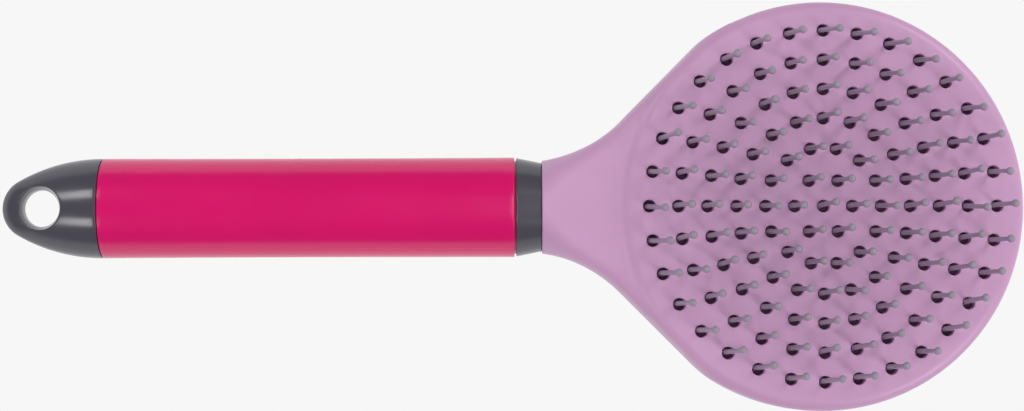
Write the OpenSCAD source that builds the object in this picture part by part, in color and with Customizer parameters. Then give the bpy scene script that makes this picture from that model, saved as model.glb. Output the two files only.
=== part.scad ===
// Round-faced mane and tail brush. Ball-tipped pins stand in rings on a hidden cushion pad,
// under a perforated face, on a moulded head with a sleeved round grip.
// The origin is on the table, under the middle of the head. +X points to the head's far end,
// the handle runs along -X, and the pins point up along +Z, leaning by the tilt of the face.

/* [Head] */
// Radius of the round head at its parting line
head_r = 55.8; // [54:0.2:58]
// Tilt of the pin face, far end down, in degrees
face_tilt = 4.5; // [4:0.25:5]
// Height of the middle of the pin face above the table
face_z = 16.6; // [16.4:0.1:17]
// Depth of the dish in the pin face
dish_depth = 1.1; // [0.6:0.1:1.4]
// Radius of the rounded edge of the head
rim_round = 3; // [2:0.5:3.5]
// Thickness of the head from the middle of the face to the crown of its back
head_t = 17.4; // [17.3:0.1:17.8]
// Radius of the domed back
dome_r = 240; // [235:5:250]
// Wall thickness of the two shells
wall = 2.5; // [2.2:0.1:2.8]

/* [Pins] */
// Distance between neighbouring rings of pins
pin_pitch = 7.95; // [7.6:0.05:8]
// Height of the pin tips above the middle of the face
pin_reach = 17; // [14:0.5:20]
// Diameter of a pin where it leaves its flange
pin_base_d = 1.4; // [1.3:0.1:2]
// Diameter of a pin under its ball tip
pin_neck_d = 1.2; // [1:0.1:1.3]
// Diameter of the ball tip
ball_d = 2.2; // [1.8:0.1:2.6]
// Diameter of the holes in the face
hole_d = 3.4; // [3:0.1:3.8]
// Diameter of the flange that keeps a pin under the face
flange_d = 5; // [4.6:0.1:5.4]

/* [Neck and handle] */
// Distance from the middle of the head to the joint of neck and ring
neck_x = 76.4; // [76:0.2:80]
// Radius of the concave blend between neck and head
blend_r = 39; // [37:1:41]
// Angle of the neck's side where it leaves the ring
lead_angle = 8; // [7:0.5:9]
// Length of the collar ring
ring_len = 7; // [5:0.5:9]
// Length of the grip sleeve
grip_len = 112.5; // [100:0.5:120]
// Diameter of the grip at its ends
grip_d = 27.1; // [26:0.1:27.4]
// Depth of the waist in the grip
waist = 0.1; // [0:0.05:0.5]
// Length of the end cap outside the grip
cap_len = 27.4; // [26:0.2:28]
// Radius of the end cap's side arcs in plan
cap_side_r = 46.3; // [45.5:0.1:47.5]
// Share of its thickness that the end cap loses by its tip
cap_flat = 0.5; // [0.4:0.05:0.55]
// Diameter of the hanging hole
hang_d = 10; // [8:0.5:10]
// Distance from the tip to the middle of the hanging hole
hang_in = 10.8; // [10.4:0.1:11.2]

/* [Hidden] */
$fn = 96;
eps = 0.01;
big = 400;

// Numbers of pins in the rings, from the inside out
RINGS = [6, 14, 20, 24, 28, 32];

LILAC = [0.77, 0.58, 0.75];
GREY = [0.30, 0.30, 0.33];
MAGENTA = [0.82, 0.07, 0.38];
RUBBER = [0.16, 0.14, 0.16];
IVORY = [0.85, 0.83, 0.80];

// Heights in the head are measured along the head's axis from the middle of the pin face
face_t = 2.4;
flange_gap = 0.3;
flange_t = 1;
pad_t = 4;
plate_t = 1.5;
seat_gap = 0.02;
face_under = -face_t;
flange_top = face_under - flange_gap;
flange_bottom = flange_top - flange_t;
pad_top = flange_bottom - seat_gap;
pad_bottom = pad_top - pad_t;
plate_top = pad_bottom - seat_gap;
plate_bottom = plate_top - plate_t;

// The dish is a shallow bowl that ends where the rim's flat land begins
land_r = head_r - rim_round - wall;
dish_steps = 4;
function dish(r) = dish_depth * pow(r / land_r, 2);
pocket_r = head_r - wall - 0.3;
ledge_r = pocket_r - 3;
plate_r = pocket_r - 0.4;
pad_r = pocket_r - 0.8;
back_wall = 3.2;
draft_in = 0.2;

// The handle's axis is level and lies one grip radius above the table
axis_z = grip_d / 2;
joint_x = -neck_x;

// The shells part at the height of the handle's axis as far as fold_x, then parallel to the face.
// The outline is widest a little below that seam.
fold_x = joint_x + 1;
parting = fold_x * sin(face_tilt) + (axis_z - face_z) * cos(face_tilt);
below_seam = 0.4;
widest = parting - below_seam;
grip_x1 = joint_x - ring_len;
grip_x0 = grip_x1 - grip_len;
tang_r = 10;
bore_r = 7.5;
slip = 0.05;
ring_r1 = 13.35;
ring_r2 = 12.1;

// Plan of the neck: an arc tangent to a 45 degree line that runs a little inside the head's circle
flank_r = head_r - 0.7;
arc_x = joint_x - blend_r * sin(lead_angle);
arc_y = arc_x + sqrt(2) * (flank_r + blend_r);
flare_x = arc_x + blend_r * sin(45);
neck_end = -flank_r * sin(45);
joint_r = arc_y - blend_r * cos(lead_angle);
shoulder_x = -54;
shoulder_top = 21.1;
shoulder_bottom = 6.6;
neck_in = -(pocket_r - 1);

function ease(t) = 0.35 * t + 0.65 * t * t * (3 - 2 * t);
function neck_t(x) = (x - joint_x) / (shoulder_x - joint_x);
function blend(x, at_joint, at_shoulder, beyond) =
    x < shoulder_x
        ? at_joint + (at_shoulder - at_joint) * ease(neck_t(x))
        : at_shoulder + (x - shoulder_x) * beyond;
function neck_half(x) =
    x < flare_x
        ? arc_y - sqrt(blend_r * blend_r - pow(x - arc_x, 2))
        : x + sqrt(2) * flank_r;
function seam_z(x) = axis_z - max(0, x - fold_x) * tan(face_tilt);
function neck_mid(x) = seam_z(x) - below_seam;
function neck_top(x) = blend(x, axis_z + joint_r, shoulder_top, -tan(face_tilt) - 0.01);
function neck_bottom(x) = blend(x, axis_z - joint_r, shoulder_bottom, 0.12);
// The section is round at the joint and becomes a slab with rounded edges by the head
function squareness(x) = 2 + 6 * min(1, (x - joint_x) / 24);
function side(v) = v < 0 ? -1 : 1;
function super(v, e) = side(v) * pow(abs(v), 2 / e);

// A closed body lofted through sections, each a list of the same number of points
module loft(sections) {
    n = len(sections[0]);
    last = len(sections) - 1;
    polyhedron(
        points = [for (s = sections) each s],
        faces = concat(
            [[for (i = [0 : n - 1]) i]],
            [for (k = [0 : last - 1], i = [0 : n - 1])
                let (a = k * n + i, b = k * n + (i + 1) % n)
                each [[a, a + n, b], [b, a + n, b + n]]],
            [[for (i = [n - 1 : -1 : 0]) last * n + i]]
        )
    );
}

neck_points = 36;
function neck_section(x, inset) = [
    for (i = [0 : neck_points - 1])
        let (
            a = 360 * i / neck_points,
            e = squareness(x),
            rise = sin(a) < 0 ? neck_mid(x) - neck_bottom(x) : neck_top(x) - neck_mid(x)
        )
        [
            x,
            (neck_half(x) - inset) * super(cos(a), e),
            neck_mid(x) + (rise - inset) * super(sin(a), e)
        ]
];

module neck(from, to, steps, inset) {
    loft([for (k = [0 : steps]) neck_section(from + (to - from) * k / steps, inset)]);
}

// Puts children into the head's tilted frame, with its origin in the middle of the face
module in_head() {
    translate([0, 0, face_z]) rotate([0, face_tilt, 0]) children();
}

// Puts a body of revolution that runs up +Z onto the handle's axis, towards the head
module on_handle(x) {
    translate([x, 0, axis_z]) rotate([0, 90, 0]) children();
}

// Half of the head's outline, in radius and height
module head_profile() {
    top = dish_depth;
    difference() {
        intersection() {
            union() {
                translate([0, -head_t]) square([head_r - rim_round - draft_in, top + head_t]);
                polygon([
                    [0, widest],
                    [head_r, widest],
                    [head_r - draft_in, top - rim_round],
                    [0, top - rim_round]
                ]);
                translate([head_r - rim_round - draft_in, top - rim_round]) circle(r = rim_round);
                translate([head_r - rim_round, widest]) circle(r = rim_round);
            }
            translate([0, dome_r - head_t]) circle(r = dome_r, $fn = 720);
            translate([0, -big / 2]) square([big, big]);
        }
        polygon(concat(
            [for (i = [0 : dish_steps]) let (r = 1.04 * land_r * i / dish_steps) [r, dish(r)]],
            [[land_r, head_t], [0, head_t]]
        ));
    }
}

module outside() {
    intersection() {
        union() {
            in_head() rotate_extrude() head_profile();
            neck(joint_x, neck_end, 15, 0);
        }
        translate([-big / 2, -big / 2, 0]) cube(big);
    }
}

// The hollow of the head: a pocket for plate and pad, and a shallow space under the plate
module inside() {
    in_head() {
        translate([0, 0, plate_bottom]) cylinder(r = pocket_r, h = face_under - plate_bottom);
        rotate_extrude() intersection() {
            translate([0, -head_t]) square([ledge_r, head_t + plate_bottom + eps]);
            translate([0, dome_r - head_t]) circle(r = dome_r - back_wall, $fn = 720);
        }
    }
    neck(joint_x + wall, neck_in, 11, wall);
}

peg_x = -64;
peg_y = 8;
peg_r = 1.5;
peg_h = 3.5;
boss_r = 3.2;
boss_h = 15;

module at_pegs() {
    for (s = [-1, 1])
        translate([peg_x, s * peg_y, 0]) children();
}

module bosses() {
    at_pegs() translate([0, 0, axis_z - boss_h / 2]) cylinder(r = boss_r, h = boss_h);
}

snap_x = 12;
module tang() {
    difference() {
        on_handle(grip_x0) cylinder(r = tang_r, h = grip_len + ring_len + wall / 2);
        on_handle(grip_x0 - eps) cylinder(r = bore_r, h = grip_len + ring_len - wall);
        on_handle(grip_x0 + snap_x) rotate_extrude() translate([bore_r - 0.1, 0]) circle(r = 0.8);
    }
}

// All that lies beyond the seam of the two shells, up to the height z
module beyond_seam(z) {
    rotate([90, 0, 0]) linear_extrude(big, center = true) polygon([
        [-big, axis_z],
        [fold_x, axis_z],
        [big, seam_z(big)],
        [big, z],
        [-big, z]
    ]);
}

module moulding() {
    difference() {
        outside();
        inside();
    }
    bosses();
    tang();
}

module at_ring(k) {
    for (i = [0 : RINGS[k - 1] - 1])
        rotate(360 * i / RINGS[k - 1]) translate([k * pin_pitch, 0, 0]) children();
}

module front_shell() {
    color(LILAC) difference() {
        moulding();
        beyond_seam(-big);
        at_pegs() cylinder(r = peg_r + slip, h = seam_z(peg_x) + peg_h + 0.5);
        in_head() translate([0, 0, face_under - 1]) {
            cylinder(d = hole_d, h = face_t + dish_depth + 2);
            for (k = [1 : len(RINGS)])
                at_ring(k) cylinder(d = hole_d, h = face_t + dish_depth + 2);
        }
    }
}

rib_t = 1.6;
RIB_RADII = [20, 38];
module ribs() {
    in_head() for (r = RIB_RADII)
        difference() {
            translate([0, 0, -head_t + 1.5]) cylinder(r = r + rib_t, h = plate_bottom + head_t - 1.5);
            translate([0, 0, -head_t]) cylinder(r = r, h = head_t);
        }
}

module back_shell() {
    color(LILAC) {
        difference() {
            union() {
                moulding();
                intersection() {
                    ribs();
                    outside();
                }
            }
            beyond_seam(big);
        }
        at_pegs() translate([0, 0, axis_z - boss_h / 2 + 1])
            cylinder(r = peg_r, h = seam_z(peg_x) + peg_h - axis_z + boss_h / 2 - 1);
    }
}

module backing_plate() {
    color(IVORY) in_head() translate([0, 0, plate_bottom]) cylinder(r = plate_r, h = plate_t);
}

module cushion_pad() {
    color(RUBBER) in_head() translate([0, 0, pad_bottom]) cylinder(r = pad_r, h = pad_t);
}

// One pin with its flange, standing on the middle of the face
module pin() {
    ball_z = pin_reach - ball_d / 2;
    rotate_extrude($fn = 32) intersection() {
        union() {
            polygon([
                [0, flange_bottom],
                [flange_d / 2, flange_bottom],
                [flange_d / 2, flange_top],
                [pin_base_d / 2, flange_top],
                [pin_neck_d / 2, ball_z],
                [0, ball_z]
            ]);
            translate([0, ball_z]) circle(d = ball_d);
        }
        translate([0, -big / 2]) square(big);
    }
}

module centre_pin() {
    color(GREY) in_head() pin();
}

module pin_ring(k) {
    color(GREY) in_head() at_ring(k) pin();
}

module collar_ring() {
    edge = 0.35;
    color(GREY) on_handle(grip_x1) rotate_extrude() polygon([
        [tang_r + slip, 0],
        [ring_r1 - edge, 0],
        [ring_r1, edge],
        [ring_r2 + edge * 0.2, ring_len - edge],
        [ring_r2 - edge, ring_len],
        [tang_r + slip, ring_len]
    ]);
}

// Radius of the grip at a distance z from its cap end, with the waist as a parabola
function grip_r(z) = grip_d / 2 - waist * (1 - pow(2 * z / grip_len - 1, 2));

module grip_sleeve() {
    lip = 1;
    steps = 12;
    color(MAGENTA) on_handle(grip_x0) rotate_extrude() polygon(concat(
        [[tang_r + slip, 0]],
        [for (a = [0 : 15 : 90]) [grip_r(lip) - lip / 2 * (1 - sin(a)), lip / 2 * (1 - cos(a))]],
        [for (i = [1 : steps - 1]) [grip_r(grip_len * i / steps), grip_len * i / steps]],
        [for (a = [90 : -15 : 0]) [grip_r(lip) - lip * (1 - sin(a)), grip_len - lip * (1 - cos(a))]],
        [[tang_r + slip, grip_len]]
    ));
}

// Plan of the end cap: side arcs level at the grip, and a tip arc tangent to both
cap_tip_r = (cap_side_r * cap_side_r - cap_len * cap_len - pow(cap_side_r - axis_z, 2))
    / (2 * (cap_side_r - cap_len));
cap_turn = (cap_len - cap_tip_r) * cap_side_r / (cap_side_r - cap_tip_r);
function cap_half(s) =
    s < cap_turn
        ? axis_z - cap_side_r + sqrt(cap_side_r * cap_side_r - s * s)
        : sqrt(max(0, cap_tip_r * cap_tip_r - pow(s - cap_len + cap_tip_r, 2)));
function cap_height(s) = cap_half(s) * (1 - cap_flat * pow(s / cap_len, 1.3));
// Stations crowd towards the tip, where the outline turns fastest
cap_points = 48;
cap_steps = 18;
function cap_station(k) = cap_len * sin(90 * k / cap_steps) * (k < cap_steps ? 1 : 0.9995);
function cap_section(s) = [
    for (i = [0 : cap_points - 1])
        let (a = 360 * i / cap_points)
        [grip_x0 - s, -cap_half(s) * cos(a), axis_z + cap_height(s) * sin(a)]
];

hang_straight = 4;
hang_flare = 0.19;
spigot_len = 18;
module end_cap() {
    color(GREY) {
        difference() {
            loft([for (k = [0 : cap_steps]) cap_section(cap_station(k))]);
            translate([grip_x0 - cap_len + hang_in, 0, axis_z]) {
                cylinder(d = hang_d, h = 2 * hang_straight, center = true);
                for (m = [0, 1])
                    mirror([0, 0, m]) translate([0, 0, hang_straight / 2])
                        cylinder(r1 = hang_d / 2, r2 = hang_d / 2 + hang_flare * 12, h = 12);
            }
        }
        difference() {
            union() {
                on_handle(grip_x0 - eps) cylinder(r = bore_r - 0.1, h = spigot_len + eps);
                on_handle(grip_x0 + snap_x) rotate_extrude() translate([bore_r - 0.2, 0]) circle(r = 0.6);
            }
            on_handle(grip_x0 + 1) cylinder(r = bore_r - wall, h = spigot_len);
        }
    }
}

front_shell();
back_shell();
backing_plate();
cushion_pad();
centre_pin();
pin_ring(1);  // pin_ring_1
pin_ring(2);  // pin_ring_2
pin_ring(3);  // pin_ring_3
pin_ring(4);  // pin_ring_4
pin_ring(5);  // pin_ring_5
pin_ring(6);  // pin_ring_6
collar_ring();
grip_sleeve();
end_cap();
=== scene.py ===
"""Looks of the round mane and tail brush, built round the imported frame.

Lengths are in millimetres until mesh_piece() makes metres of them.
"""

import math

import bmesh
import bpy
import numpy as np
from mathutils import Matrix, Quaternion, Vector
from mathutils.geometry import delaunay_2d_cdt


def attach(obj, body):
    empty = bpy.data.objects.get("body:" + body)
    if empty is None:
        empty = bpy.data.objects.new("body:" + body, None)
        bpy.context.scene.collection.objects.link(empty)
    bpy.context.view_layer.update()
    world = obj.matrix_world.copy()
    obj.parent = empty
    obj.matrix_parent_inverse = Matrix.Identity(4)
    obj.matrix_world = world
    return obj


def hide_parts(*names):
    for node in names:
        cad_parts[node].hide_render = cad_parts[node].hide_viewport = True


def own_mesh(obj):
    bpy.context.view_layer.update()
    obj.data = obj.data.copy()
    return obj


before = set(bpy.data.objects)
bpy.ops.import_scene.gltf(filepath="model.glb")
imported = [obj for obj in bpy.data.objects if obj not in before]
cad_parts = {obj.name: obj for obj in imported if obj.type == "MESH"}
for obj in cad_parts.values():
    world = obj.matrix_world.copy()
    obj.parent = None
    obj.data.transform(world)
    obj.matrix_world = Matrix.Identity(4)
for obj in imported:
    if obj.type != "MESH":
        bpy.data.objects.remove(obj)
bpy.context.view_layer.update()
rng = np.random.default_rng(11)

# ---------------------------------------------------------------- sizes from the CAD source, and roundings
# the head
TILT = math.radians(4.5)
S, C = math.sin(TILT), math.cos(TILT)
HEAD_R, FACE_Z, HEAD_T, DOME_R = 55.8, 16.6, 17.4, 240.0
DISH, RIM, WALL, BACK_WALL, DRAFT = 1.1, 3.0, 2.5, 3.2, 0.2
LAND_R = HEAD_R - RIM - WALL
POCKET_R, LEDGE_R = HEAD_R - WALL - 0.3, HEAD_R - WALL - 3.3
# heights in the head's own frame, from the middle of the face
FACE_UNDER, FLANGE_TOP, FLANGE_BOTTOM = -2.4, -2.7, -3.7
PAD_TOP, PAD_BOTTOM, PLATE_BOTTOM = -3.72, -7.72, -9.24
PAD_ROUND, ZONE_ROUND = 1.2, 0.12  # roundings of the pad's own edge and of its zones
RINGS = [6, 14, 20, 24, 28, 32]  # pins in each ring
OUTER_RING_R = 48  # about the radius of the outermost ring
PITCH, HOLE_R, HOLE_ROUND = 7.95, 1.7, 0.3
# a pin: radii of its flange, its foot, its stem at both ends and its ball, and how high stem and ball reach
FLANGE_R, FOOT_R, STEM_R, THIN_R, BALL_R = 2.5, 0.95, 0.7, 0.6, 1.1
STEM_TOP, PIN_REACH = 15.2, 17.0
FOOT_OFF = (-0.95, 0.15)  # where the foot stands in its hole
# the neck, whose sides are an arc, a straight flank and a knee that meets the head's circle
AXIS_Z, JOINT_X, FOLD_X = 13.55, -76.4, -75.4
SEAM = FOLD_X * S + (AXIS_Z - FACE_Z) * C  # height of the parting line of the two shells
DROP = 0.4  # the widest part lies this much lower
WIDEST = SEAM - DROP
BLEND_R, LEAD, FLANK_R = 39.0, math.radians(8), HEAD_R - 0.7
ARC_X = JOINT_X - BLEND_R * math.sin(LEAD)
ARC_Y = ARC_X + math.sqrt(2) * (FLANK_R + BLEND_R)
FLARE_X = ARC_X + BLEND_R * math.sin(math.pi / 4)
FLANK_A, KNEE_R = math.radians(135), 30.0  # the way a flank faces, and the knee between it and the head
KNEE_A = math.acos((FLANK_R - KNEE_R) / (HEAD_R - KNEE_R))
KNEE_X = (HEAD_R - KNEE_R) * math.cos(FLANK_A - KNEE_A)
KNEE_Y = (HEAD_R - KNEE_R) * math.sin(FLANK_A - KNEE_A)
TOUCH_X = KNEE_X - KNEE_R * math.sin(math.pi / 4)
JOINT_R = ARC_Y - BLEND_R * math.cos(LEAD)
SHOULDER_X, SHOULDER_TOP, SHOULDER_BOTTOM = -54.0, 21.5, 6.6
SQUARE_BY, SQUARE_OVER = 6, 24  # the neck's section goes from round to nearly square over this length
NECK_FROM = -25  # the neck's surfaces are only worked out on this side of the head
UPRIGHT_U, LEAN_OVER = -72, 22  # plan columns stand upright up to here, and come to lean over this length
FILLET, CROWN_FILLET = 0.9, 0.8  # widths over which neck and head, and crown and edge, run into each other
NICK_R = 0.25  # rounding of the neck's end
# the handle: ring, grip, and the cap with its hanging hole
RING_LEN, GRIP_LEN, GRIP_D, WAIST = 7.0, 112.5, 27.1, 0.1
RING_R1, RING_R2, RING_ROUND = 13.35, 12.1, 0.35
GROOVE_R_CAP, GROOVE_R_RING = 12.8, 12.7  # bottoms of the grooves beside the grip
GROOVE_CAP, GROOVE_RING = 0.3, 0.45  # and their widths
GRIP_ROUND_CAP, GRIP_ROUND_RING = 0.25, 0.2
GRIP_X1 = JOINT_X - RING_LEN
GRIP_X0 = GRIP_X1 - GRIP_LEN
TANG_R, BORE_R = 10.0, 7.5
SLEEVE_R = TANG_R + 0.05
SPIGOT_R, SPIGOT_LEN, SNAP_AT, SNAP = BORE_R - 0.1, 18, 12, 0.8  # the cap's spigot in the tang's bore
CAP_LEN, CAP_SIDE_R, CAP_FLAT, HANG_R, HANG_IN = 27.4, 46.3, 0.5, 5.0, 10.8
HANG_STRAIGHT, HANG_FLARE = 2.0, 0.19  # half the straight part of the hanging hole, and its flare beyond
CAP_ROUND, CAP_END_ROUND, CAP_LEAST = 0.4, 0.3, 0.02

# ---------------------------------------------------------------- fineness of the meshes
HOLE_STEPS, MOUTH_STEPS, PIN_STEPS, PAD_STEPS, SPIGOT_STEPS, TUBE_STEPS = 28, 64, 18, 120, 96, 160
NECK_STEP, FACE_STEP, CAP_STEP = 0.9, 1.7, 0.65
ROW = 0.866  # rows of a triangular grid lie this share of a step apart
MOTTLE, UNEVEN_GLOSS, WAVES = 45, 160, 60  # features to a metre


# ---------------------------------------------------------------- materials
def nodes_of(name, colour, roughness, **sockets):
    """A principled material, with its node tree, its shader and a texture coordinate in metres."""
    made = bpy.data.materials.new(name)
    made.use_nodes = True
    tree = made.node_tree
    shader = tree.nodes["Principled BSDF"]
    shader.inputs["Base Color"].default_value = (*colour, 1)
    shader.inputs["Roughness"].default_value = roughness
    for socket, value in sockets.items():
        shader.inputs[socket.replace("_", " ")].default_value = value
    place = tree.nodes.new("ShaderNodeTexCoord")
    return made, tree, shader, place.outputs["Object"]


def noise(tree, place, scale, detail):
    """Noise with so many features to a metre."""
    made = tree.nodes.new("ShaderNodeTexNoise")
    made.inputs["Scale"].default_value = scale
    made.inputs["Detail"].default_value = detail
    tree.links.new(place, made.inputs["Vector"])
    return made.outputs["Fac"]


def ramp(tree, factor, low, high, start=0.3, end=0.7):
    """Colours or greys from low to high as the factor goes from start to end."""
    made = tree.nodes.new("ShaderNodeValToRGB")
    for element, position, value in zip(made.color_ramp.elements, (start, end), (low, high)):
        element.position = position
        element.color = (*value, 1) if isinstance(value, tuple) else (value, value, value, 1)
    tree.links.new(factor, made.inputs["Fac"])
    return made.outputs["Color"]


def bumped(tree, shader, height, distance, strength, before=None):
    """Adds a bump of the given depth in metres, on top of an earlier one where there is one."""
    made = tree.nodes.new("ShaderNodeBump")
    made.inputs["Strength"].default_value = strength
    made.inputs["Distance"].default_value = distance
    tree.links.new(height, made.inputs["Height"])
    if before is not None:
        tree.links.new(before, made.inputs["Normal"])
    tree.links.new(made.outputs["Normal"], shader.inputs["Normal"])
    return made.outputs["Normal"]


def shade(colour, factor):
    """A colour made lighter or darker."""
    return tuple(min(1.0, c * factor) for c in colour)


def moulded(name, colour, roughness, grain=900, depth=0.00002, spread=0.03, wave=4.0, **sockets):
    """Injection-moulded plastic: faint mottling, uneven gloss and a fine texture."""
    made, tree, shader, place = nodes_of(name, colour, roughness, **sockets)
    mottled = ramp(tree, noise(tree, place, MOTTLE, 3), shade(colour, 1 - spread), shade(colour, 1 + spread))
    gloss = ramp(tree, noise(tree, place, UNEVEN_GLOSS, 3), roughness * 0.88, roughness * 1.12)
    tree.links.new(mottled, shader.inputs["Base Color"])
    tree.links.new(gloss, shader.inputs["Roughness"])
    first = bumped(tree, shader, noise(tree, place, WAVES, 1), depth * wave, 0.5)
    bumped(tree, shader, noise(tree, place, grain, 2), depth, 0.6, first)
    return made


lilac = moulded("lilac_plastic", (0.575, 0.315, 0.53), 0.42)
grey = moulded("dark_grey_plastic", (0.067, 0.062, 0.083), 0.21, depth=0.000005, wave=0.6, IOR=1.55)
nylon = moulded("mauve_grey_nylon", (0.31, 0.255, 0.335), 0.35, grain=2500, depth=0.00001)
# painted shade: the flanges are the same nylon as the pins, and this darker copy stands in for the shade down
# in the holes
shade_painted_nylon = moulded("foot_nylon_with_painted_shade", (0.1, 0.03, 0.094), 0.6, grain=2500, depth=0.00001)
board = moulded("plate_plastic", (0.62, 0.6, 0.56), 0.5)
rubber = moulded("pad_rubber", (0.05, 0.032, 0.048), 0.7, grain=1800, depth=0.00004)
magenta = moulded(
    "soft_magenta_rubber", (0.695, 0.003, 0.138), 0.22, grain=2600, depth=0.00001, spread=0.02, wave=0.8
)


# ---------------------------------------------------------------- meshes
def mesh_piece(name, verts, faces, material, body, slot, *nodes):
    """A closed mesh, in millimetres, that rides on a body; the CAD nodes it takes the place of are hidden."""
    data = bpy.data.meshes.new(name)
    data.from_pydata((np.asarray(verts, float) / 1000).tolist(), [], [list(map(int, f)) for f in faces])
    work = bmesh.new()
    work.from_mesh(data)
    bmesh.ops.remove_doubles(work, verts=work.verts, dist=2e-7)
    bmesh.ops.recalc_face_normals(work, faces=work.faces)
    work.to_mesh(data)
    work.free()
    data.shade_smooth()
    data.set_sharp_from_angle(angle=math.radians(35))
    data.materials.append(material)
    made = bpy.data.objects.new(name, data)
    bpy.context.scene.collection.objects.link(made)
    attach(made, body)
    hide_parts(*nodes)
    return made


def joined(parts):
    """Several (verts, faces) as one."""
    verts, faces, n = [], [], 0
    for v, f in parts:
        verts.append(np.asarray(v, float))
        faces += [[i + n for i in face] for face in f]
        n += len(v)
    return np.concatenate(verts), faces


def turned(profile, count, closed=True):
    """A body of revolution about Z from (radius, height) points, closed back to its first point or not."""
    verts, faces, rows = [], [], []
    for r, z in profile:
        if r < 1e-6:
            rows.append([len(verts)] * count)
            verts.append((0, 0, z))
        else:
            rows.append(list(range(len(verts), len(verts) + count)))
            angles = 2 * np.pi * np.arange(count) / count
            verts += [(r * math.cos(a), r * math.sin(a), z) for a in angles]
    if closed:
        rows.append(rows[0])
    for low, high in zip(rows, rows[1:]):
        for i in range(count):
            j = (i + 1) % count
            face = [low[i], low[j], high[j], high[i]]
            face = [v for k, v in enumerate(face) if v != face[k - 1]]
            if len(face) > 2:
                faces.append(face)
    return np.array(verts), faces


def along_handle(verts, x):
    """Puts a body that runs up Z on the handle's axis, towards the head."""
    v = np.asarray(verts)
    return np.stack([x + v[:, 2], v[:, 1], AXIS_Z - v[:, 0]], 1)


def in_head(u, v, w):
    """Points in the head's own frame, with its origin in the middle of the face, in the shared frame."""
    u, v, w = np.broadcast_arrays(u, v, w)
    return np.stack([u * C + w * S, v, FACE_Z - u * S + w * C], -1)


def arc(cx, cy, r, start, end, steps):
    """Points on an arc, angles in degrees."""
    a = np.radians(np.linspace(start, end, steps + 1))
    return [(cx + r * math.cos(t), cy + r * math.sin(t)) for t in a]


def smooth_max(a, b, k):
    """The larger of two heights, with their crossing rounded over a width of k."""
    return np.maximum(a, b) + np.maximum(k - np.abs(a - b), 0) ** 2 / (4 * k)


def smooth_min(a, b, k):
    return -smooth_max(-a, -b, k)


def edge_round(gap, r):
    """How far a rounding of radius r lowers a surface, at some distance in from its edge."""
    t = np.clip(gap / r, 0, 1)
    return r * (1 - np.sqrt(1 - (1 - t) ** 2))


def triangles(points, edges, void):
    """Triangulates plan points with the given edges; drops the triangles whose middle is in the void."""
    out = delaunay_2d_cdt([Vector(p) for p in points], edges, [], 0, 1e-6, True)
    plan = np.array([tuple(p) for p in out[0]])
    tris = np.array(out[2])
    source = np.array([ids[0] if ids else -1 for ids in out[3]])
    a, b, c = plan[tris[:, 0]], plan[tris[:, 1]], plan[tris[:, 2]]
    area = (b[:, 0] - a[:, 0]) * (c[:, 1] - a[:, 1]) - (b[:, 1] - a[:, 1]) * (c[:, 0] - a[:, 0])
    tris[area < 0] = tris[area < 0][:, ::-1]
    tris = tris[(np.abs(area) > 1e-9) & ~void((a + b + c) / 3)]
    used = np.unique(tris)
    where = np.full(len(plan), -1)
    where[used] = np.arange(len(used))
    return plan[used], where[tris], source[used]


def stacked(tris, levels):
    """A closed mesh over one triangulation: first and last level, and a wall along each free edge."""
    n = len(levels[0])
    pairs = {(a, b) for t in tris.tolist() for a, b in ((t[0], t[1]), (t[1], t[2]), (t[2], t[0]))}
    free = sorted((a, b) for a, b in pairs if (b, a) not in pairs)
    rim = sorted({v for e in free for v in e})
    at = {v: i for i, v in enumerate(rim)}
    verts = [levels[0], levels[-1]] + [level[rim] for level in levels[1:-1]]
    faces = tris.tolist() + (tris[:, ::-1] + n).tolist()

    def column(v):
        return [v, *(2 * n + k * len(rim) + at[v] for k in range(len(levels) - 2)), n + v]

    for a, b in free:
        ca, cb = column(a), column(b)
        faces += [[ca[k], ca[k + 1], cb[k + 1], cb[k]] for k in range(len(levels) - 1)]
    return np.concatenate(verts), faces


# ---------------------------------------------------------------- head and neck, as heights over a plan
def side_x(u):
    """Where on the neck's outline a plan position lies; the plan is stretched to end at the joint."""
    end = (JOINT_X - SEAM * S) / C
    return np.where(u < TOUCH_X, TOUCH_X + (u - TOUCH_X) * (JOINT_X - TOUCH_X) / (end - TOUCH_X), u)


def side_u(x):
    """The plan position of a place on the neck's outline."""
    end = (JOINT_X - SEAM * S) / C
    return np.where(x < TOUCH_X, TOUCH_X + (x - TOUCH_X) * (end - TOUCH_X) / (JOINT_X - TOUCH_X), x)


def nick(x):
    """The small rounding of the neck's end, where it meets the ring."""
    return edge_round(x - JOINT_X, NICK_R)


def neck_half(x):
    """Half the neck's width."""
    bent = ARC_Y - np.sqrt(np.maximum(BLEND_R**2 - (x - ARC_X) ** 2, 0))
    return np.where(x < FLARE_X, bent, x + math.sqrt(2) * FLANK_R) - nick(x)


def ease(t):
    """A blend of a straight and a smooth step."""
    return 0.35 * t + 0.65 * t * t * (3 - 2 * t)


def dome(r):
    """Height of the domed back, so far from the head's middle."""
    return DOME_R - HEAD_T - np.sqrt(DOME_R**2 - np.minimum(r, 70) ** 2)


def neck_line(x, at_joint, at_shoulder, beyond):
    """Height of the neck's top or bottom line, with its slope beyond the shoulder."""
    t = (x - JOINT_X) / (SHOULDER_X - JOINT_X)
    before = at_joint + (at_shoulder - at_joint) * ease(t)
    return np.where(x < SHOULDER_X, before, at_shoulder + (x - SHOULDER_X) * beyond)


def neck_mid(x):
    """Height of the widest part of the neck."""
    return AXIS_Z - np.maximum(0, x - FOLD_X) * S / C - DROP


def world_x(u, w):
    """The neck's plan columns stand upright at the joint and lean with the head elsewhere."""
    t = np.clip((u - UPRIGHT_U) / LEAN_OVER, 0, 1)
    return u * C + SEAM * S + (w - SEAM) * S * t * t * (3 - 2 * t)


def placed(u, v, w):
    """Plan points at a height in the head's frame, in the shared frame."""
    return np.stack([world_x(u, w), v, FACE_Z - u * S + w * C], 1)


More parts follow.
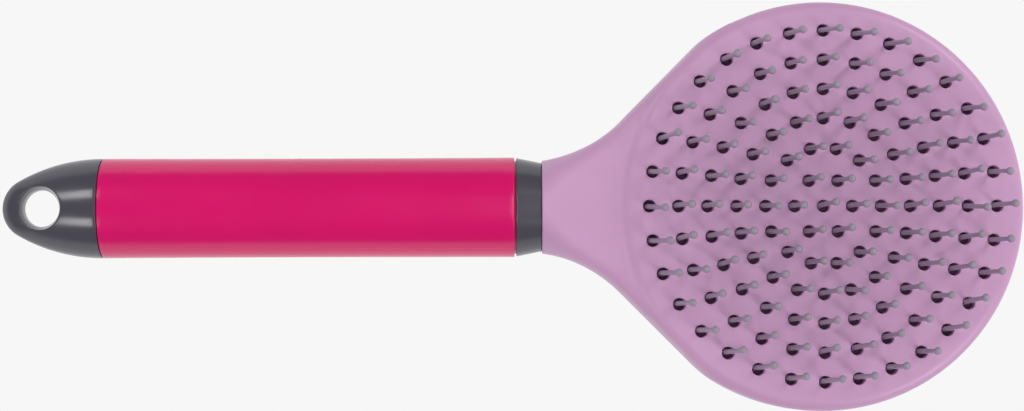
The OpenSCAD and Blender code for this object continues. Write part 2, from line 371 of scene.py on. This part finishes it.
def neck_surface(u, v, top):
    """Height of the neck's upper or lower surface."""
    half = np.maximum(neck_half(side_x(u)), 1)
    w = np.full_like(u, SEAM)
    for _ in range(6):
        x = np.maximum(world_x(u, w), JOINT_X)
        power = 2 + SQUARE_BY * np.minimum(1, (x - JOINT_X) / SQUARE_OVER)
        share = np.maximum(1 - np.minimum(np.abs(v) / half, 1) ** power, 0) ** (1 / power)
        mid = neck_mid(x)
        if top:
            rise = neck_line(x, AXIS_Z + JOINT_R, SHOULDER_TOP, -S / C - 0.01) - nick(x) - mid
        else:
            rise = neck_line(x, AXIS_Z - JOINT_R, SHOULDER_BOTTOM, 0.12) + nick(x) - mid
        w = (mid + rise * share - FACE_Z + u * S) / C
    return w


def rim_radius(u, v):
    """Radius that the rim's profile goes by: the head's circle, eased into the neck's flanks."""
    v, r = np.abs(v), np.hypot(u, v)
    turn = np.arctan2(v - KNEE_Y, u - KNEE_X)
    knee = HEAD_R - KNEE_R + np.hypot(u - KNEE_X, v - KNEE_Y)
    flank = np.maximum(r, HEAD_R - FLANK_R + (v - u) * math.sqrt(0.5))
    return np.where(turn > FLANK_A, flank, np.where(turn > FLANK_A - KNEE_A, knee, r))


def face_surface(u, v):
    """Height of the front shell's outside."""
    edge = HEAD_R - RIM - DRAFT
    disc = DISH * np.minimum(np.hypot(u, v) / LAND_R, 1) ** 2
    r = rim_radius(u, v)
    disc -= RIM - np.sqrt(RIM**2 - np.clip(r - edge, 0, RIM) ** 2)
    disc -= np.maximum(r - HEAD_R + DRAFT, 0) * (DISH - RIM - WIDEST) / DRAFT
    neck = np.where(u < NECK_FROM, neck_surface(u, v, True), -99)
    return smooth_max(disc, neck, FILLET)


def back_surface(u, v):
    """Height of the back shell's outside."""
    r = rim_radius(u, v)
    edge = WIDEST - np.sqrt(RIM**2 - np.clip(r - HEAD_R + RIM, 0, RIM) ** 2)
    edge = np.where(r < HEAD_R - RIM, WIDEST - RIM - (HEAD_R - RIM - r) * 2, edge)
    disc = smooth_max(dome(np.hypot(u, v)), edge, CROWN_FILLET)
    disc = np.where(r > HEAD_R, WIDEST + (r - HEAD_R) * 36, disc)
    neck = np.where(u < NECK_FROM, neck_surface(u, v, False), 99)
    whole = smooth_min(disc, neck, FILLET)
    return smooth_max(whole, (u * S - FACE_Z) / C, 0.04)


def depth_in_plan(u, v):
    """Distance in from the outline."""
    x = side_x(u)
    bent = (x - ARC_X) / np.sqrt(np.maximum(BLEND_R**2 - (x - ARC_X) ** 2, 1))
    slope = np.where(x < FLARE_X, bent, 1)
    neck = (neck_half(x) - np.abs(v)) / np.sqrt(1 + slope**2)
    head = HEAD_R - np.where(np.abs(v) > -0.5 * u, rim_radius(u, v), np.hypot(u, v))
    return np.where(u < TOUCH_X, neck, head)


def outline():
    """The upper half of the head's plan from the far end to the joint, as points and outward directions."""
    a = np.linspace(0, FLANK_A - KNEE_A, 112)
    points = [HEAD_R * np.stack([np.cos(a), np.sin(a)], 1)]
    out = [np.stack([np.cos(a), np.sin(a)], 1)]
    a = np.linspace(FLANK_A - KNEE_A, FLANK_A, 9)[1:]
    points.append(np.stack([KNEE_X + KNEE_R * np.cos(a), KNEE_Y + KNEE_R * np.sin(a)], 1))
    out.append(np.stack([np.cos(a), np.sin(a)], 1))
    x = np.linspace(TOUCH_X, FLARE_X, 30)[1:]
    points.append(np.stack([x, x + math.sqrt(2) * FLANK_R], 1))
    out.append(np.tile([-math.sqrt(0.5), math.sqrt(0.5)], (len(x), 1)))
    b = np.linspace(math.pi / 4, LEAD, 32)[1:]
    points.append(np.stack([ARC_X + BLEND_R * np.sin(b), ARC_Y - BLEND_R * np.cos(b)], 1))
    out.append(np.stack([-np.sin(b), np.cos(b)], 1))
    return np.concatenate(points), np.concatenate(out)


NICKS = (0.5, 0.25, 0.15, 0.07, 0.02, 0.0)
INSETS = (0.26, 0.36, 0.52, 0.75, 1.05, 1.4, 1.8, 2.2, 2.56, 3.05, 3.7, 4.5, 5.5)
RIM_ARCS = (-5.5, -4.8, -4.2, -3.7, -3.3, -2.9, -2.5, -2.1, -1.7, -1.3, -0.9, -0.5, 0, 0.7, 1.6)
FOLD_ARCS = (-3.1, -2.6, -2.2, -1.8, -1.4, -1.0, -0.6, -0.3, 0, 0.4)


def inset_loop(depth):
    """The outline moved inwards, from the lower corner of the joint round the far end to the upper one."""
    points, out = outline()
    moved = points - out * depth
    keep = moved[:, 0] > JOINT_X + 0.9  # the last of it comes from NICKS
    moved, out = moved[keep], out[keep]
    x = JOINT_X + np.array(NICKS)
    ends = np.stack([x, neck_half(x) - depth / math.cos(LEAD)], 1)
    upper = np.concatenate([moved, ends])
    out = np.concatenate([out, np.tile([0.0, 1.0], (len(x), 1))])
    upper[:, 0] = side_u(upper[:, 0])
    lower, lower_out = upper[:0:-1] * [1, -1], out[:0:-1] * [1, -1]
    return np.concatenate([lower, upper]), np.concatenate([lower_out, out])


HOLES = np.array([(0, 0)] + [
    (k * PITCH * math.cos(2 * math.pi * i / n), k * PITCH * math.sin(2 * math.pi * i / n))
    for k, n in enumerate(RINGS, 1) for i in range(n)
])


def to_holes(u, v):
    """Distance from each plan point to the nearest hole's middle."""
    near = np.full(len(u), 99.0)
    for hu, hv in HOLES:
        near = np.minimum(near, np.hypot(u - hu, v - hv))
    return near


def neck_rows(across):
    """Rows of plan points over the neck, outside the head's circle."""
    rows = [[(side_u(x), v) for v in across] for x in JOINT_X + np.array(NICKS[:-1])]
    for x in np.arange(JOINT_X + 1, -50, NECK_STEP):
        half = float(neck_half(x)) / NECK_STEP
        rows.append([(side_u(x), v) for v in np.arange(-math.floor(half), half) * NECK_STEP])
    rows = np.concatenate([np.array(row) for row in rows])
    return rows[np.hypot(rows[:, 0], rows[:, 1]) > HEAD_R + 2.5]


def rim_arcs():
    """Arcs of plan points along the head's rim, where it runs on into the neck."""
    a = np.radians(np.arange(138, 222, 1.0))
    circle = np.stack([np.cos(a), np.sin(a)], 1)
    return np.concatenate([(HEAD_R + off) * circle for off in RIM_ARCS])


def face_grid():
    """A grid of plan points over the face."""
    step = FACE_STEP
    grid = [(i * step + (j % 2) * step / 2, j * step * ROW) for i in range(-32, 33) for j in range(-36, 37)]
    grid = np.array(grid)
    return grid[np.hypot(grid[:, 0], grid[:, 1]) < LAND_R - 0.8]


def fold_points(loops):
    """Extra plan points along the fold where rim and neck meet, clear of the other loops."""
    fold = np.array([((HEAD_R + off) * math.cos(a), (HEAD_R + off) * math.sin(a) * side)
                     for off in FOLD_ARCS for a in np.radians(np.arange(140, 164, 0.5)) for side in (-1, 1)])
    depth = depth_in_plan(fold[:, 0], fold[:, 1])
    fold = fold[(depth > 0.3) & (depth < 6)]
    return fold[[np.hypot(*(loops - p).T).min() > 0.12 for p in fold]]


def shell(holes):
    """Plan points of a shell, triangulated, with the rim's outward directions."""
    rim, rim_out = inset_loop(DRAFT)
    n = len(rim)
    joint_v = np.arange(-11.5, 11.6, NECK_STEP)
    joint = np.array([(rim[-1][0], v) for v in joint_v[::-1]])
    count = n + len(joint)
    edges = [(i, (i + 1) % count) for i in range(count)]
    points = [rim, joint] + [inset_loop(depth)[0] for depth in INSETS]
    inner = np.concatenate([neck_rows(joint_v), rim_arcs(), face_grid()])
    depth = depth_in_plan(inner[:, 0], inner[:, 1])
    near_joint = inner[:, 0] < side_u(JOINT_X + 0.45)
    inner = inner[(depth > 6.0) | near_joint & (depth > 1.0)]
    inner = np.concatenate([inner, fold_points(np.concatenate(points))])
    if holes:
        inner = inner[to_holes(inner[:, 0], inner[:, 1]) > HOLE_R + 0.85]
    points.append(inner)
    if holes:
        start = sum(map(len, points))
        turn = 2 * math.pi * np.arange(HOLE_STEPS) / HOLE_STEPS
        rounds = (0, 0.06, 0.15, HOLE_ROUND)
        for hu, hv in HOLES:
            for extra in rounds:
                r = HOLE_R + extra
                points.append(np.stack([hu + r * np.cos(turn), hv + r * np.sin(turn)], 1))
            edges += [(start + i, start + (i + 1) % HOLE_STEPS) for i in range(HOLE_STEPS)]
            start += len(rounds) * HOLE_STEPS
    points = np.concatenate(points)
    border = points[:count]

    def void(middles):
        inside = np.zeros(len(middles), bool)
        a, b = border, np.roll(border, -1, 0)
        for (ax, ay), (bx, by) in zip(a, b):
            crosses = (ay > middles[:, 1]) != (by > middles[:, 1])
            if crosses.any():
                at = ax + (middles[:, 1] - ay) * (bx - ax) / ((by - ay) or 1e-12)
                inside ^= crosses & (middles[:, 0] < at)
        out = ~inside
        if holes:
            out |= to_holes(middles[:, 0], middles[:, 1]) < HOLE_R * math.cos(math.pi / HOLE_STEPS) * 0.999
        return out

    plan, tris, source = triangles(points, edges, void)
    out = np.zeros_like(plan)
    on_rim = (source >= 0) & (source < n)
    out[on_rim] = rim_out[source[on_rim]]
    return plan, tris, out, on_rim


def shell_levels(plan, out, on_rim, outside, inside, seam_side):
    """The outside's height, and the levels down the side, round the seam's small rounding to the inside."""
    u, v = plan[:, 0], plan[:, 1]
    height, under = outside(u, v), inside(u, v)

    def shifted(amount, w, share):
        at = plan + out * amount
        w = w(at[:, 0], at[:, 1]) if callable(w) else np.full(len(u), w)
        return placed(np.where(on_rim, at[:, 0], u), np.where(on_rim, at[:, 1], v),
                      np.where(on_rim, w, height + (under - height) * share))

    return height, [
        shifted(DRAFT - 0.07, outside, 0.25),
        shifted(DRAFT, SEAM + 0.2 * seam_side, 0.5),
        shifted(DRAFT - 0.15, SEAM + 0.02 * seam_side, 0.75),
        placed(u, v, under),
    ]


def half_tube(upper):
    """Half of the tang, from the neck to the cap's end of the grip."""
    side = 1 if upper else -1
    a = np.radians(np.linspace(0, 180, 33))
    section = [(r * math.cos(t), AXIS_Z + side * r * math.sin(t))
               for r, turn in ((TANG_R, a), (BORE_R, a[::-1])) for t in turn]
    n = len(section)
    verts = [(x, y, z) for x in (GRIP_X0, JOINT_X + 0.8) for y, z in section]
    half = n // 2
    faces = [[i, (i + 1) % n, n + (i + 1) % n, n + i] for i in range(n)]
    for base in (0, n):
        faces += [[base + i, base + i + 1, base + n - 2 - i, base + n - 1 - i] for i in range(half - 1)]
    return np.array(verts), faces


def under_face(u, v):
    """Height of the front shell's inside."""
    r, depth = np.hypot(u, v), depth_in_plan(u, v)
    inner = np.where(r < POCKET_R, FACE_UNDER, face_surface(u, v) - WALL)
    inner = np.maximum(inner, SEAM + 0.01)
    return np.where((depth < WALL) | (side_x(u) < JOINT_X + WALL), SEAM, inner)


def over_back(u, v):
    """Height of the back shell's inside."""
    r, depth = np.hypot(u, v), depth_in_plan(u, v)
    inner = np.where(r < LEDGE_R, np.minimum(dome(r) + BACK_WALL, PLATE_BOTTOM), PLATE_BOTTOM)
    inner = np.where(r < POCKET_R, inner, np.minimum(back_surface(u, v) + WALL, SEAM - 0.01))
    return np.where((depth < WALL) | (side_x(u) < JOINT_X + WALL), SEAM, inner)


plan, tris, out, on_rim = shell(True)
height, levels = shell_levels(plan, out, on_rim, face_surface, under_face, 1)
height = height - edge_round(to_holes(plan[:, 0], plan[:, 1]) - HOLE_R, HOLE_ROUND)
top = placed(plan[:, 0], plan[:, 1], height)
whole = joined([stacked(tris, [top, *levels]), half_tube(True)])
mesh_piece("face_moulding", *whole, lilac, "brush", "lilac_shell", "front_shell")

plan, tris, out, on_rim = shell(False)
height, levels = shell_levels(plan, out, on_rim, back_surface, over_back, -1)
outer = placed(plan[:, 0], plan[:, 1], height)
whole = joined([stacked(tris, [*levels[::-1], outer]), half_tube(False)])
mesh_piece("back_moulding", *whole, lilac, "brush", "lilac_shell", "back_shell")

# ---------------------------------------------------------------- pins
PIN_PROFILE = (
    [(0, FLANGE_BOTTOM), (FLANGE_R - 0.1, FLANGE_BOTTOM), (FLANGE_R, FLANGE_BOTTOM + 0.1)]
    + [(FLANGE_R, FLANGE_TOP - 0.1), (FLANGE_R - 0.1, FLANGE_TOP)]
    + [(FOOT_R, FLANGE_TOP), (0.76, FLANGE_TOP + 0.25)]
    + [(STEM_R - (STEM_R - THIN_R) * t, FLANGE_TOP + (STEM_TOP - FLANGE_TOP) * t)
       for t in np.arange(0.08, 0.93, 0.12)]
    + [(0.63, STEM_TOP - 0.25)]
    + arc(0, PIN_REACH - BALL_R, BALL_R, -52, 82, 10)
    + [(0, PIN_REACH)]
)


def pin(u, v):
    """One pin at its hole: the tip leans by its place and by chance, and the foot stands off the middle."""
    verts, faces = turned(PIN_PROFILE, PIN_STEPS, closed=False)
    h = np.clip(verts[:, 2] - FACE_UNDER, 0, None)
    share = h / (PIN_REACH - FACE_UNDER)
    across, up = u / OUTER_RING_R, v / OUTER_RING_R
    outward = 0.2 + 0.7 * (across**2 + up**2) + 1.6 * max(-across, 0) ** 4
    lean = np.array([outward, 0.2 + 0.35 * abs(up) - up]) + rng.normal(0, 0.4, 2)
    bend = rng.normal(0, 0.22, 2)
    foot = np.array(FOOT_OFF) + rng.normal(0, 0.06, 2)
    shift = (1 - share[:, None]) * foot + share[:, None] * lean + (share**2 - share)[:, None] * bend
    on_flange = np.hypot(verts[:, 0], verts[:, 1])[:, None] > 1.5
    verts[:, :2] += np.where(on_flange, 0, shift)
    return in_head(u + verts[:, 0], v + verts[:, 1], verts[:, 2]), faces


def paint_feet_shade(made):
    """Paints shade on the pins' flanges, under the face: a darker copy of the nylon stands in for the shade
    down in the holes.
    """
    made.data.materials.append(shade_painted_nylon)
    for face in made.data.polygons:
        at = face.center * 1000
        if at.x * S + (at.z - FACE_Z) * C < FLANGE_TOP + 0.1:
            face.material_index = 1


paint_feet_shade(mesh_piece("middle_pin", *pin(0, 0), nylon, "pin_centre", "pin_nylon", "centre_pin"))
first = 1
for k, n in enumerate(RINGS, 1):
    pins = [pin(u, v) for u, v in HOLES[first : first + n]]
    first += n
    made = mesh_piece(f"pins_of_ring_{k}", *joined(pins), nylon, f"pins_{k}", "pin_nylon", f"pin_ring_{k}")
    paint_feet_shade(made)


# ---------------------------------------------------------------- the cushion pad, in zones under the rings
def pad_ring(k):
    """The zone of the pad under one ring of pins, or under the middle pin."""
    inner, outer = (k - 0.5) * PITCH, (k + 0.5) * PITCH
    if k == 0:
        inner = 0
    if k == len(RINGS):
        outer = HEAD_R - WALL - 1.1
    r = PAD_ROUND if k == len(RINGS) else ZONE_ROUND
    profile = [(inner + ZONE_ROUND if inner else 0, PAD_BOTTOM), (outer - r, PAD_BOTTOM)]
    profile += arc(outer - r, PAD_BOTTOM + r, r, -90, 0, 5)[1:] + arc(outer - r, PAD_TOP - r, r, 0, 90, 5)
    if inner:
        profile += arc(inner + ZONE_ROUND, PAD_TOP - ZONE_ROUND, ZONE_ROUND, 90, 180, 3)
        profile += arc(inner + ZONE_ROUND, PAD_BOTTOM + ZONE_ROUND, ZONE_ROUND, 180, 270, 3)[:-1]
    else:
        profile += [(0, PAD_TOP)]
    verts, faces = turned(profile, PAD_STEPS, closed=bool(inner))
    return in_head(verts[:, 0], verts[:, 1], verts[:, 2]), faces


seat = [c / 1000 for c in in_head(0, 0, PAD_BOTTOM).tolist()]
for k in range(len(RINGS) + 1):
    made = mesh_piece(f"pad_zone_{k}", *pad_ring(k), rubber, "brush", "pad_rubber", "cushion_pad")
    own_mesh(made)

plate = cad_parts["backing_plate"]
plate.data.materials.clear()
plate.data.materials.append(board)

# ---------------------------------------------------------------- ring, grip and end cap
taper, straight = RING_R1 - RING_R2, RING_LEN - 2 * RING_ROUND
ring_profile = (
    [(SLEEVE_R, 0), (RING_R1 - RING_ROUND, 0)]
    + arc(RING_R1 - RING_ROUND, RING_ROUND, RING_ROUND, -90, 0, 5)[1:]
    + [(RING_R1 - taper * t, RING_ROUND + straight * t) for t in (0.03, 0.97)]
    + arc(RING_R2 - RING_ROUND, RING_LEN - RING_ROUND, RING_ROUND, 8, 90, 5)
    + [(SLEEVE_R, RING_LEN)]
)
verts, faces = turned(ring_profile, TUBE_STEPS)
mesh_piece("trim_ring", along_handle(verts, GRIP_X1), faces, grey, "brush", "grey_trim", "collar_ring")


def grip_r(z):
    """Radius of the grip, which has a slight waist."""
    return GRIP_D / 2 - WAIST * (1 - (2 * z / GRIP_LEN - 1) ** 2)


grip_profile = (
    [(SLEEVE_R, 0), (GROOVE_R_CAP, 0), (GROOVE_R_CAP, GROOVE_CAP)]
    + arc(grip_r(1) - GRIP_ROUND_CAP, GROOVE_CAP + GRIP_ROUND_CAP, GRIP_ROUND_CAP, -90, 0, 5)
    + [(grip_r(z), z) for z in np.linspace(2, GRIP_LEN - 2, 48)]
    + arc(grip_r(1) - GRIP_ROUND_RING, GRIP_LEN - GROOVE_RING - GRIP_ROUND_RING, GRIP_ROUND_RING, 0, 90, 5)
    + [(GROOVE_R_RING, GRIP_LEN - GROOVE_RING), (GROOVE_R_RING, GRIP_LEN), (SLEEVE_R, GRIP_LEN)]
)
verts, faces = turned(grip_profile, TUBE_STEPS)
mesh_piece("soft_grip", along_handle(verts, GRIP_X0), faces, magenta, "brush", "magenta_grip", "grip_sleeve")

TIP_R = (CAP_SIDE_R**2 - CAP_LEN**2 - (CAP_SIDE_R - AXIS_Z) ** 2) / (2 * (CAP_SIDE_R - CAP_LEN))
TURN = (CAP_LEN - TIP_R) * CAP_SIDE_R / (CAP_SIDE_R - TIP_R)
HANG_S = CAP_LEN - HANG_IN
CAP_INSETS = (0.012, 0.05, 0.12, 0.22, 0.35, 0.52, 0.75, 1.05, 1.4, 1.85, 2.4, 3.1, 3.9, 4.8, 5.8)


def cap_half(s):
    """Half the cap's width, so far from its joint."""
    side = AXIS_Z - CAP_SIDE_R + np.sqrt(np.maximum(CAP_SIDE_R**2 - s**2, 0))
    tip = np.sqrt(np.maximum(TIP_R**2 - (s - CAP_LEN + TIP_R) ** 2, 0))
    return np.where(s < TURN, side, tip)


def cap_rise(s, y):
    """Half thickness of the cap over its plan, with a small rounding at its flat end."""
    half = np.maximum(cap_half(s), 1e-6)
    across = np.sqrt(np.maximum(1 - (y / half) ** 2, 0))
    thinner = 1 - CAP_FLAT * (np.clip(s, 0, CAP_LEN) / CAP_LEN) ** 1.3
    return np.maximum(half * thinner * across - edge_round(s, CAP_END_ROUND), CAP_LEAST)


def cap_loop(depth):
    """The cap's outline moved inwards, from the lower end of the joint round the tip."""
    swing = math.atan2(TURN, CAP_SIDE_R - AXIS_Z + float(cap_half(np.array(TURN))))
    a = np.linspace(0, swing, 44)
    r = CAP_SIDE_R - depth
    side = np.stack([r * np.sin(a), AXIS_Z - CAP_SIDE_R + r * np.cos(a)], 1)
    b = np.linspace(swing, math.pi / 2, 30)[1:]
    tip = np.stack([CAP_LEN - TIP_R + (TIP_R - depth) * np.sin(b), (TIP_R - depth) * np.cos(b)], 1)
    upper = np.concatenate([side, tip])
    upper[-1, 1] = 0
    return np.concatenate([upper * [1, -1], upper[-2::-1]])


def cap():
    """The cap's outside, with the hanging hole."""
    loop = cap_loop(0)
    across = np.arange(-13.0, 13.1, CAP_STEP)
    joint = np.array([(0, y) for y in across[::-1]])
    points = [loop, joint]
    n = len(loop) + len(joint)
    edges = [(i, (i + 1) % n) for i in range(n)]
    turn = 2 * math.pi * np.arange(MOUTH_STEPS) / MOUTH_STEPS
    mouth = np.full(MOUTH_STEPS, HANG_R + 1)
    for _ in range(20):
        at = HANG_S + mouth * np.cos(turn)
        mouth = HANG_R + HANG_FLARE * (cap_rise(at, mouth * np.sin(turn)) - HANG_STRAIGHT)
    for extra in (0, 0.03, 0.07, 0.13, 0.21, 0.3, CAP_ROUND, 0.8):
        r = mouth + extra
        points.append(np.stack([HANG_S + r * np.cos(turn), r * np.sin(turn)], 1))
    edges += [(n + i, n + (i + 1) % MOUTH_STEPS) for i in range(MOUTH_STEPS)]
    loops = np.concatenate([cap_loop(depth) for depth in CAP_INSETS])
    loops = loops[(np.hypot(loops[:, 0] - HANG_S, loops[:, 1]) > 7.6) & (loops[:, 0] > 0.0)]
    rows = np.array([(s, y) for s in (0.03, 0.08, 0.15, 0.3, *np.arange(0.9, 24, CAP_STEP)) for y in across])
    inside = np.abs(rows[:, 1]) < cap_half(rows[:, 0]) - np.where(rows[:, 0] < 0.4, 0.3, 6.4)
    inside &= np.hypot(rows[:, 0] - HANG_S, rows[:, 1]) > 7.9
    points = np.concatenate([*points, loops, rows[inside]])

    def void(m):
        angle = np.arctan2(m[:, 1], m[:, 0] - HANG_S) % (2 * math.pi)
        edge = np.interp(angle, np.append(turn, 2 * math.pi), np.append(mouth, mouth[0]))
        in_hole = np.hypot(m[:, 0] - HANG_S, m[:, 1]) < edge * math.cos(math.pi / MOUTH_STEPS) * 0.9995
        return in_hole | (np.abs(m[:, 1]) > cap_half(m[:, 0]) + 1e-4) | (m[:, 0] < 0)

    plan, tris, source = triangles(points, edges, void)
    s, y = plan[:, 0], plan[:, 1]
    angle = np.arctan2(y, s - HANG_S) % (2 * math.pi)
    edge = np.interp(angle, np.append(turn, 2 * math.pi), np.append(mouth, mouth[0]))
    rise = cap_rise(s, y) - edge_round(np.hypot(s - HANG_S, y) - edge, CAP_ROUND) * 0.8
    rise = np.maximum(rise, CAP_LEAST)
    in_mouth = (source >= n) & (source < n + MOUTH_STEPS)
    direction = np.stack([s - HANG_S, y], 1) / np.maximum(np.hypot(s - HANG_S, y), 1e-6)[:, None]

    def level(radius, z, share):
        at = np.where(in_mouth[:, None], [HANG_S, 0] + direction * radius, plan)
        return np.stack([GRIP_X0 - at[:, 0], -at[:, 1], AXIS_Z + np.where(in_mouth, z, rise * share)], 1)

    levels = [np.stack([GRIP_X0 - s, -y, AXIS_Z + rise], 1)]
    # down the hole: extra radius, distance past the end of its straight part, and share of the rise elsewhere
    wall = ((HANG_FLARE * 1.2, 1.2, 0.7), (0.04, 0.2, 0.5), (0, -0.3, 0.3))
    levels += [level(HANG_R + wider, HANG_STRAIGHT + past, share) for wider, past, share in wall]
    levels += [level(HANG_R + wider, -HANG_STRAIGHT - past, -share) for wider, past, share in wall[::-1]]
    levels.append(np.stack([GRIP_X0 - s, -y, AXIS_Z - rise], 1))
    return stacked(tris, levels)


spigot_profile = [(BORE_R - WALL, 1), (BORE_R - WALL, SPIGOT_LEN)]
spigot_profile += [(SPIGOT_R - 0.4, SPIGOT_LEN), (SPIGOT_R, SPIGOT_LEN - 0.4)]
spigot_profile += [(SPIGOT_R, SNAP_AT + SNAP), (SPIGOT_R + 0.5, SNAP_AT), (SPIGOT_R, SNAP_AT - SNAP)]
spigot_profile += [(SPIGOT_R, -0.3), (0, -0.3), (0, 1)]
verts, faces = turned(spigot_profile, SPIGOT_STEPS)
whole = joined([cap(), (along_handle(verts, GRIP_X0), faces)])
mesh_piece("tail_cap", *whole, grey, "brush", "grey_trim", "end_cap")

# ---------------------------------------------------------------- floor, light and camera
PALE, DIM = 0.93, 0.15  # brightness of the floor and the low sky, and of the rest of the sky
pale = bpy.data.materials.new("pale_table")
pale.use_nodes = True
tree = pale.node_tree
tree.nodes.clear()
glow = tree.nodes.new("ShaderNodeEmission")
glow.inputs["Color"].default_value = (1, 1, 1, 1)
glow.inputs["Strength"].default_value = PALE
end = tree.nodes.new("ShaderNodeOutputMaterial")
tree.links.new(glow.outputs["Emission"], end.inputs["Surface"])


def staged(name, data):
    """A pale piece of the studio."""
    data.materials.append(pale)
    made = bpy.data.objects.new(name, data)
    bpy.context.scene.collection.objects.link(made)
    return made


FLOOR_HALF, FLOOR_Z, BACKDROP_R = 4, -0.0002, 3.9  # metres
corners = [(x * FLOOR_HALF, y * FLOOR_HALF, FLOOR_Z) for x, y in ((-1, -1), (1, -1), (1, 1), (-1, 1))]
data = bpy.data.meshes.new("floor")
data.from_pydata(corners, [], [(0, 1, 2, 3)])
staged("floor", data)

ball = bmesh.new()
bmesh.ops.create_uvsphere(ball, u_segments=64, v_segments=32, radius=BACKDROP_R)
data = bpy.data.meshes.new("backdrop")
ball.to_mesh(data)
ball.free()
backdrop = staged("backdrop", data)  # seen behind the object, and lights nothing
for ray in ("diffuse", "glossy", "transmission", "volume_scatter", "shadow"):
    setattr(backdrop, f"visible_{ray}", False)

world = bpy.data.worlds.new("studio")
world.use_nodes = True
tree = world.node_tree
sky = tree.nodes["Background"]
way = tree.nodes.new("ShaderNodeTexCoord")
split = tree.nodes.new("ShaderNodeSeparateXYZ")
tree.links.new(way.outputs["Generated"], split.inputs["Vector"])
tree.links.new(ramp(tree, split.outputs["Z"], PALE, DIM, 0.0, 0.015), sky.inputs["Color"])
sky.inputs["Strength"].default_value = 1.0
bpy.context.scene.world = world


def softbox(name, where, aim, length, width, power):
    """A soft rectangular light, in metres and watts."""
    light = bpy.data.lights.new(name, "AREA")
    light.shape = "RECTANGLE"
    light.size, light.size_y, light.energy = length, width, power
    made = bpy.data.objects.new(name, light)
    made.location = where
    made.rotation_euler = (Vector(aim) - Vector(where)).to_track_quat("-Z", "Y").to_euler()
    made.visible_camera = False
    bpy.context.scene.collection.objects.link(made)


TAIL_X, AIM_Z = -0.82, 0.014
for side in (-1, 1):
    where = "back" if side > 0 else "front"
    softbox(f"head_softbox_{where}", (0.5, side * 0.45, 0.5), (0, 0, AIM_Z), 0.36, 0.4, 2.75)
    power = 3.38 + side * 0.18
    softbox(f"tail_softbox_{where}", (TAIL_X, side * 0.405, 0.6), (TAIL_X, 0, AIM_Z), 0.72, 0.22, power)
softbox("top_softbox", (0.1, 0, 0.9), (0.1, 0, 0), 0.14, 0.8, 1.5)

MIDDLE_X = -0.0845  # the middle of the picture along the brush
camera = bpy.data.objects.new("camera", bpy.data.cameras.new("camera"))
camera.data.lens, camera.data.sensor_width = 87.7, 36
camera.location = (MIDDLE_X, -0.019, 0.693)
look = Vector((MIDDLE_X, 0.0005, AXIS_Z / 1000)) - camera.location
roll = Quaternion((0, 0, 1), math.radians(-0.18))
camera.rotation_euler = (look.to_track_quat("-Z", "Y") @ roll).to_euler()
camera.data.clip_start, camera.data.clip_end = 0.05, 20
bpy.context.scene.collection.objects.link(camera)
bpy.context.scene.camera = camera
bpy.context.scene.view_settings.view_transform = "Standard"
